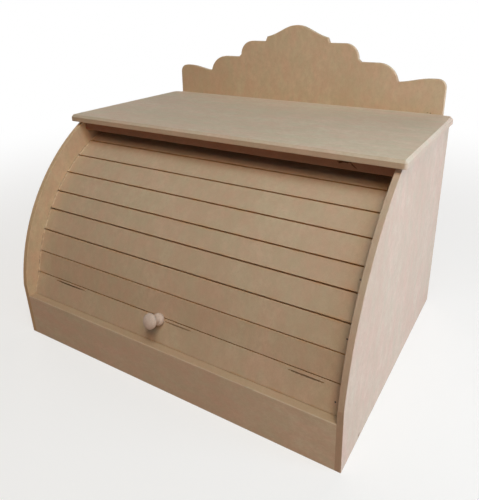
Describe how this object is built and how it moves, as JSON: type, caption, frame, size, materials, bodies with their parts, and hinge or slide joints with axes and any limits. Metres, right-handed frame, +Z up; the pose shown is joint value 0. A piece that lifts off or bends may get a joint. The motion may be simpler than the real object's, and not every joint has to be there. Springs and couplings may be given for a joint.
{
  "type": "bread box",
  "caption": "Roll-top bread box of raw fibreboard: a slatted shutter with a small turned knob rolls up under a flat top, with a scalloped crest behind.",
  "frame": {"origin": "middle of the floor rectangle that the box covers, knob included", "axes": "+X to the right of someone facing the front, -Y out of the front, +Z up"},
  "size_m": [0.38, 0.2974, 0.3232],
  "materials": {
    "raw_fibreboard": "raw sanded fibreboard",
    "turned_birch": "raw turned birch",
    "canvas": "plain cotton canvas",
    "bright_steel": "bright wire",
    "plated_steel": "zinc plated"
  },
  "bodies": {
    "casing": {"side_panel_left": "raw_fibreboard", "side_panel_right": "raw_fibreboard", "back_panel": "raw_fibreboard", "top_board": "raw_fibreboard", "bottom_board": "raw_fibreboard", "front_board": "raw_fibreboard", "front_rail": "raw_fibreboard", "side_brads_left": "bright_steel", "side_brads_right": "bright_steel", "top_brads": "bright_steel", "back_brads": "bright_steel"},
    "shutter": {"knob_slat": "raw_fibreboard", "slat_1": "raw_fibreboard", "slat_2": "raw_fibreboard", "slat_3": "raw_fibreboard", "slat_4": "raw_fibreboard", "slat_5": "raw_fibreboard", "slat_6": "raw_fibreboard", "slat_7": "raw_fibreboard", "slat_8": "raw_fibreboard", "shutter_canvas": "canvas", "knob": "turned_birch", "knob_screw": "plated_steel", "slat_tacks": "bright_steel"}
  },
  "joints": [
    {"name": "shutter_roll", "type": "hinge", "parent": "casing", "child": "shutter", "pos_m": [0, 0.05671, 0.0322], "axis": [-1, 0, 0], "range_deg": [0, 47.2]}
  ]
}
